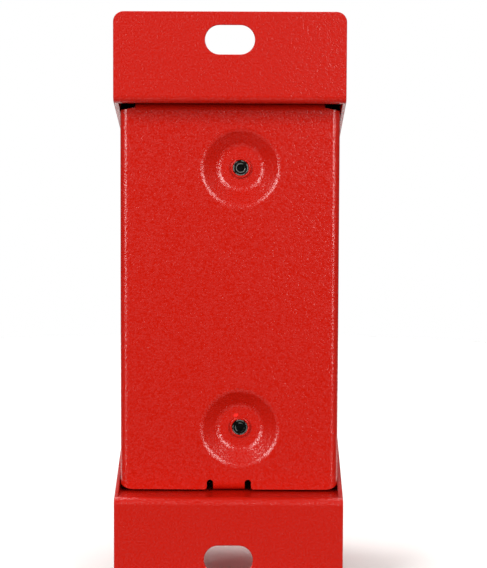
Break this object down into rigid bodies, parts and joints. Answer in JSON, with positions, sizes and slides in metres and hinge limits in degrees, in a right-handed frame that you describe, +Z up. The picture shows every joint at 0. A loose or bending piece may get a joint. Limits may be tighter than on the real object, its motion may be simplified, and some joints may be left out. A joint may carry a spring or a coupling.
{
  "type": "street fire alarm box",
  "caption": "Wall-mounted red steel fire alarm box with slotted flanges, removable rear cover, glazed front door, latch, push button, lamp and cable gland.",
  "frame": {"origin": "middle of the two-slot fixing pattern, on the wall plane", "axes": "+Z up, +Y into the wall (the rear faces of both flanges lie on Y = 0), the front of the box faces -Y, +X to the right for someone who faces the front"},
  "size_m": [0.089, 0.1148, 0.2224],
  "materials": {
    "red_powder_coat": "satin orange-peel powder coat",
    "red_cover_coat": "satin orange-peel powder coat",
    "red_door_coat": "satin orange-peel powder coat",
    "red_fittings": "satin powder coat over fittings",
    "black_oxide": "black oxide",
    "zinc_plate": "bright zinc plate",
    "stainless": "satin stainless",
    "nickel_plate": "satin nickel",
    "brass": "drawn",
    "black_rubber": "matt moulded",
    "black_plastic": "fine moulded texture",
    "button_plastic": "polished",
    "green_board": "solder mask",
    "green_plastic": "moulded",
    "blue_plastic": "moulded",
    "capacitor_sleeve": "shrink sleeve",
    "spring_steel": "drawn wire",
    "clear_glass": "polished",
    "lamp_red": "polished lens",
    "led_epoxy": "cast epoxy"
  },
  "bodies": {
    "housing": {"housing": "red_powder_coat", "cover_posts": "zinc_plate", "hinge_lugs": "red_fittings", "hinge_pins": "stainless", "door_seal": "black_rubber", "latch_keeper": "stainless", "button_bezel": "black_plastic", "bezel_gasket": "black_rubber", "bezel_nut": "black_plastic", "button_spring": "spring_steel", "switch_block": "black_plastic", "switch_contacts": "brass", "switch_screws": "zinc_plate", "circuit_board": "green_board", "board_standoffs": "brass", "board_screws": "zinc_plate", "relay": "blue_plastic", "capacitors": "capacitor_sleeve", "terminal_block": "green_plastic", "terminal_screws": "zinc_plate", "lamp_bezel": "nickel_plate", "lamp_gasket": "black_rubber", "lamp_nut": "zinc_plate", "lamp_lens": "lamp_red", "lamp_led": "led_epoxy", "tamper_bracket": "zinc_plate", "tamper_switch": "black_plastic", "tamper_terminals": "brass", "tamper_screws": "zinc_plate", "gland_washer": "black_rubber", "gland_body": "black_plastic", "gland_locknut": "black_plastic", "gland_seal": "black_rubber", "gland_nut": "black_plastic", "earth_stud": "brass", "earth_washer": "zinc_plate", "earth_nuts": "brass"},
    "rear_cover": {"rear_cover": "red_cover_coat", "screw_ferrules": "red_fittings"},
    "screw_top": {"cover_screw_top": "black_oxide"},
    "screw_bottom": {"cover_screw_bottom": "black_oxide"},
    "door": {"door": "red_door_coat", "glass_gasket": "black_rubber", "door_glass": "clear_glass", "glass_retainer": "stainless", "retainer_nuts": "zinc_plate", "latch_body": "nickel_plate", "latch_nut": "zinc_plate"},
    "latch": {"latch_handle": "black_plastic", "latch_cam": "zinc_plate", "cam_screw": "zinc_plate"},
    "button": {"push_button": "button_plastic", "contact_bridge": "brass"},
    "plunger": {"tamper_plunger": "button_plastic"}
  },
  "joints": [
    {"name": "cover_lift", "type": "slide", "parent": "housing", "child": "rear_cover", "axis": [0, 1, 0], "range_m": [0, 0.1]},
    {"name": "screw_top_turn", "type": "hinge", "parent": "rear_cover", "child": "screw_top", "pos_m": [-0.0042, -0.02, 0.0511], "axis": [0, 1, 0], "continuous": true},
    {"name": "screw_bottom_turn", "type": "hinge", "parent": "rear_cover", "child": "screw_bottom", "pos_m": [-0.0042, -0.02, -0.0511], "axis": [0, 1, 0], "continuous": true},
    {"name": "door_hinge", "type": "hinge", "parent": "housing", "child": "door", "pos_m": [-0.039, -0.0955, -0.01], "axis": [0, 0, -1], "range_deg": [0, 110]},
    {"name": "latch_turn", "type": "hinge", "parent": "door", "child": "latch", "pos_m": [0.022, -0.1, -0.044], "axis": [0, -1, 0], "range_deg": [0, 90]},
    {"name": "button_press", "type": "slide", "parent": "housing", "child": "button", "axis": [0, 1, 0], "range_m": [0, 0.006], "stiffness_N_per_m": 600, "springref_m": -0.003, "deforming": ["button_spring"]},
    {"name": "tamper_press", "type": "slide", "parent": "housing", "child": "plunger", "axis": [0, 1, 0], "range_m": [-0.002, 0], "stiffness_N_per_m": 300, "springref_m": 0.002}
  ]
}
